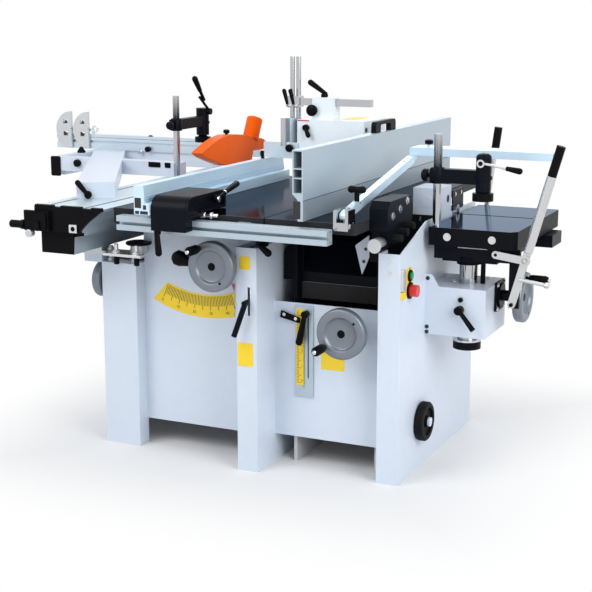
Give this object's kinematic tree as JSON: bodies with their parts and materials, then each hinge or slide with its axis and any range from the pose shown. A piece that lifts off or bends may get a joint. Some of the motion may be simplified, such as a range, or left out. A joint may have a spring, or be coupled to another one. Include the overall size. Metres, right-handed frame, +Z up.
{
  "type": "combination woodworking machine",
  "caption": "Combination woodworking machine: sliding-table saw, planer and thicknesser, spindle moulder and slot mortiser on one white steel cabinet.",
  "frame": {"origin": "on the floor, at the centre of the four anchor holes under the cabinet", "axes": "+X to the right along the front, +Y from the front to the back, +Z up"},
  "size_m": [2.3725, 1.49, 1.312],
  "materials": {
    "white_paint": "light powder coat",
    "ground_iron": "ground top, dark painted sides",
    "grey_casting": "cast, lightly painted",
    "black_casting": "black paint",
    "black_paint": "black powder coat",
    "steel": "turned and ground",
    "extrusion": "natural anodised",
    "light_alloy": "die cast",
    "orange_plastic": "moulded",
    "black_plastic": "moulded",
    "green_plastic": "moulded",
    "red_plastic": "moulded",
    "black_rubber": "moulded"
  },
  "bodies": {
    "cabinet": {"left_side": "white_paint", "partition": "white_paint", "right_side": "white_paint", "sheet_panels": "white_paint", "saw_table": "ground_iron", "rip_rail": "extrusion", "slide_beam": "extrusion", "beam_brackets": "black_paint", "planer_frame": "grey_casting", "planer_tables": "ground_iron", "planer_motor": "light_alloy", "guard_carrier": "black_casting", "moulder_hood": "white_paint", "mortise_bracket": "white_paint"},
    "saw_cradle": {"saw_trunnion": "grey_casting"},
    "saw_carriage": {"arbor_carriage": "grey_casting", "saw_motor": "light_alloy", "saw_belt": "black_rubber", "riving_knife": "steel", "blade_guard": "orange_plastic"},
    "saw_rotor": {"saw_blade": "steel", "saw_arbor": "steel"},
    "saw_wheel": {"saw_handwheel": "light_alloy"},
    "carriage": {"sliding_table": "extrusion", "crosscut_frame": "extrusion", "crosscut_fence": "extrusion", "clamp_post": "steel"},
    "stop_outer": {"flip_stop_outer": "light_alloy"},
    "stop_inner": {"flip_stop_inner": "light_alloy"},
    "carriage_clamp": {"clamp_lever": "black_plastic"},
    "rip": {"rip_carrier": "black_casting", "rip_fence": "extrusion"},
    "rip_lock": {"rip_lock_lever": "black_plastic"},
    "bed": {"thicknesser_table": "ground_iron", "chip_hood": "black_paint"},
    "bed_wheel": {"planer_handwheel": "light_alloy"},
    "cutter": {"cutterblock": "steel"},
    "roller_front": {"feed_roller_front": "steel"},
    "roller_rear": {"feed_roller_rear": "steel"},
    "fence": {"planer_fence": "extrusion"},
    "arm": {"guard_arm": "black_casting"},
    "bridge": {"bridge_guard": "extrusion"},
    "quill": {"spindle_quill": "grey_casting"},
    "moulder_spindle": {"spindle": "steel"},
    "moulder_wheel": {"spindle_handwheel": "light_alloy"},
    "press": {"moulder_bars": "steel"},
    "knee": {"mortise_column": "grey_casting"},
    "saddle": {"mortise_saddle": "grey_casting"},
    "mortise_bed": {"mortise_table": "black_casting", "hold_down": "steel"},
    "plunge": {"plunge_lever": "steel"},
    "link": {"plunge_link": "steel"},
    "cross": {"cross_lever": "steel"},
    "knee_wheel": {"mortise_handwheel": "light_alloy"},
    "knee_lock": {"mortise_lock_lever": "black_plastic"},
    "hold_clamp": {"hold_down_lever": "black_plastic"},
    "start": {"start_button": "green_plastic"},
    "stop": {"stop_button": "red_plastic"},
    "roll": {"transport_wheel": "black_rubber"},
    "feed": {"feed_lever": "black_paint"}
  },
  "joints": [
    {"name": "saw_tilt", "type": "hinge", "parent": "cabinet", "child": "saw_cradle", "pos_m": [-0.388, 0.1, 0.85], "axis": [0, 1, 0], "range_deg": [0, 45]},
    {"name": "saw_lift", "type": "slide", "parent": "saw_cradle", "child": "saw_carriage", "axis": [0, 0, 1], "range_m": [-0.055, 0]},
    {"name": "blade_spin", "type": "hinge", "parent": "saw_carriage", "child": "saw_rotor", "pos_m": [-0.388, 0.24, 0.805], "axis": [1, 0, 0], "continuous": true},
    {"name": "saw_wheel_turn", "type": "hinge", "parent": "cabinet", "child": "saw_wheel", "pos_m": [-0.055, -0.48, 0.68], "axis": [0, 1, 0], "range_deg": [-2, 2882]},
    {"name": "carriage_slide", "type": "slide", "parent": "cabinet", "child": "carriage", "axis": [0, 1, 0], "range_m": [-0.5, 0.5]},
    {"name": "stop_outer_flip", "type": "hinge", "parent": "carriage", "child": "stop_outer", "pos_m": [-1.333, 0.596, 0.985], "axis": [1, 0, 0], "range_deg": [-90, 0]},
    {"name": "stop_inner_flip", "type": "hinge", "parent": "carriage", "child": "stop_inner", "pos_m": [-1.248, 0.596, 0.985], "axis": [1, 0, 0], "range_deg": [-90, 0]},
    {"name": "carriage_clamp_turn", "type": "hinge", "parent": "carriage", "child": "carriage_clamp", "pos_m": [-0.472, 0.277, 1.1057], "axis": [1, 0, 0], "range_deg": [-60, 15]},
    {"name": "rip_slide", "type": "slide", "parent": "cabinet", "child": "rip", "axis": [1, 0, 0], "range_m": [-0.075, 0.08]},
    {"name": "rip_lock_turn", "type": "hinge", "parent": "rip", "child": "rip_lock", "pos_m": [-0.068, -0.43, 0.888], "axis": [1, 0, 0], "range_deg": [-20, 40]},
    {"name": "bed_lift", "type": "slide", "parent": "cabinet", "child": "bed", "axis": [0, 0, 1], "range_m": [-0.15, 0.03]},
    {"name": "bed_wheel_turn", "type": "hinge", "parent": "cabinet", "child": "bed_wheel", "pos_m": [0.358, -0.4, 0.485], "axis": [0, 1, 0], "range_deg": [-5405, 1085]},
    {"name": "cutter_spin", "type": "hinge", "parent": "cabinet", "child": "cutter", "pos_m": [0.3, 0.14, 0.814], "axis": [1, 0, 0], "continuous": true},
    {"name": "front_roller_spin", "type": "hinge", "parent": "cabinet", "child": "roller_front", "pos_m": [0.3, 0.078, 0.786], "axis": [1, 0, 0], "continuous": true},
    {"name": "rear_roller_spin", "type": "hinge", "parent": "cabinet", "child": "roller_rear", "pos_m": [0.3, 0.202, 0.786], "axis": [1, 0, 0], "continuous": true},
    {"name": "fence_slide", "type": "slide", "parent": "cabinet", "child": "fence", "axis": [1, 0, 0], "range_m": [-0.05, 0.09]},
    {"name": "guard_arm_turn", "type": "hinge", "parent": "cabinet", "child": "arm", "pos_m": [0.4, -0.492, 0.872], "axis": [1, 0, 0], "range_deg": [-8, 4]},
    {"name": "bridge_slide", "type": "slide", "parent": "arm", "child": "bridge", "axis": [1, 0, 0], "range_m": [-0.09, 0.02]},
    {"name": "spindle_lift", "type": "slide", "parent": "cabinet", "child": "quill", "axis": [0, 0, 1], "range_m": [-0.1, 0]},
    {"name": "moulder_spin", "type": "hinge", "parent": "quill", "child": "moulder_spindle", "pos_m": [0.02, 0.32, 0.9], "axis": [0, 0, 1], "continuous": true},
    {"name": "moulder_wheel_turn", "type": "hinge", "parent": "cabinet", "child": "moulder_wheel", "pos_m": [-0.556, -0.328, 0.571], "axis": [1, 0, 0], "range_deg": [-3605, 5]},
    {"name": "press_slide", "type": "slide", "parent": "cabinet", "child": "press", "axis": [1, 0, 0], "range_m": [-0.06, 0]},
    {"name": "knee_lift", "type": "slide", "parent": "cabinet", "child": "knee", "axis": [0, 0, 1], "range_m": [-0.06, 0]},
    {"name": "knee_wheel_turn", "type": "hinge", "parent": "cabinet", "child": "knee_wheel", "pos_m": [0.818, -0.004, 0.566], "axis": [1, 0, 0], "range_deg": [-2165, 5]},
    {"name": "saddle_slide", "type": "slide", "parent": "knee", "child": "saddle", "axis": [0, 1, 0], "range_m": [-0.08, 0.02]},
    {"name": "cross_lever_turn", "type": "hinge", "parent": "knee", "child": "cross", "pos_m": [0.566, 0.392, 0.696], "axis": [1, 0, 0], "range_deg": [-4, 14.5]},
    {"name": "table_plunge", "type": "slide", "parent": "saddle", "child": "mortise_bed", "axis": [1, 0, 0], "range_m": [0, 0.066]},
    {"name": "plunge_lever_turn", "type": "hinge", "parent": "saddle", "child": "plunge", "pos_m": [0.836, -0.1825, 0.578], "axis": [0, 1, 0], "range_deg": [0, 25.2]},
    {"name": "plunge_link_turn", "type": "hinge", "parent": "mortise_bed", "child": "link", "pos_m": [0.783, -0.191, 0.733], "axis": [0, 1, 0], "range_deg": [0, 17.7]},
    {"name": "knee_lock_turn", "type": "hinge", "parent": "cabinet", "child": "knee_lock", "pos_m": [0.66, -0.149, 0.538], "axis": [0, 1, 0], "range_deg": [-40, 40]},
    {"name": "hold_clamp_turn", "type": "hinge", "parent": "mortise_bed", "child": "hold_clamp", "pos_m": [0.724, -0.18, 1.0125], "axis": [0, 1, 0], "range_deg": [-45, 45]},
    {"name": "start_press", "type": "slide", "parent": "cabinet", "child": "start", "axis": [1, 0, 0], "range_m": [-0.005, 0], "stiffness_N_per_m": 500},
    {"name": "stop_press", "type": "slide", "parent": "cabinet", "child": "stop", "axis": [1, 0, 0], "range_m": [-0.005, 0], "stiffness_N_per_m": 500},
    {"name": "transport_spin", "type": "hinge", "parent": "cabinet", "child": "roll", "pos_m": [0.555, -0.173, 0.159], "axis": [1, 0, 0], "continuous": true},
    {"name": "feed_lever_turn", "type": "hinge", "parent": "cabinet", "child": "feed", "pos_m": [0.055, -0.35, 0.5685], "axis": [1, 0, 0], "range_deg": [-15, 4]}
  ],
  "couplings": [
    {"joint": "saw_wheel_turn", "follows": "saw_tilt", "ratio": 64},
    {"joint": "bed_wheel_turn", "follows": "bed_lift", "rad_per_m": 628.32},
    {"joint": "rear_roller_spin", "follows": "front_roller_spin", "ratio": 1},
    {"joint": "moulder_wheel_turn", "follows": "spindle_lift", "rad_per_m": 628.32},
    {"joint": "knee_wheel_turn", "follows": "knee_lift", "rad_per_m": 628.32},
    {"joint": "cross_lever_turn", "follows": "saddle_slide", "rad_per_m": -3.054},
    {"joint": "plunge_lever_turn", "follows": "table_plunge", "rad_per_m": 6.611},
    {"joint": "plunge_link_turn", "follows": "table_plunge", "rad_per_m": 4.627}
  ]
}
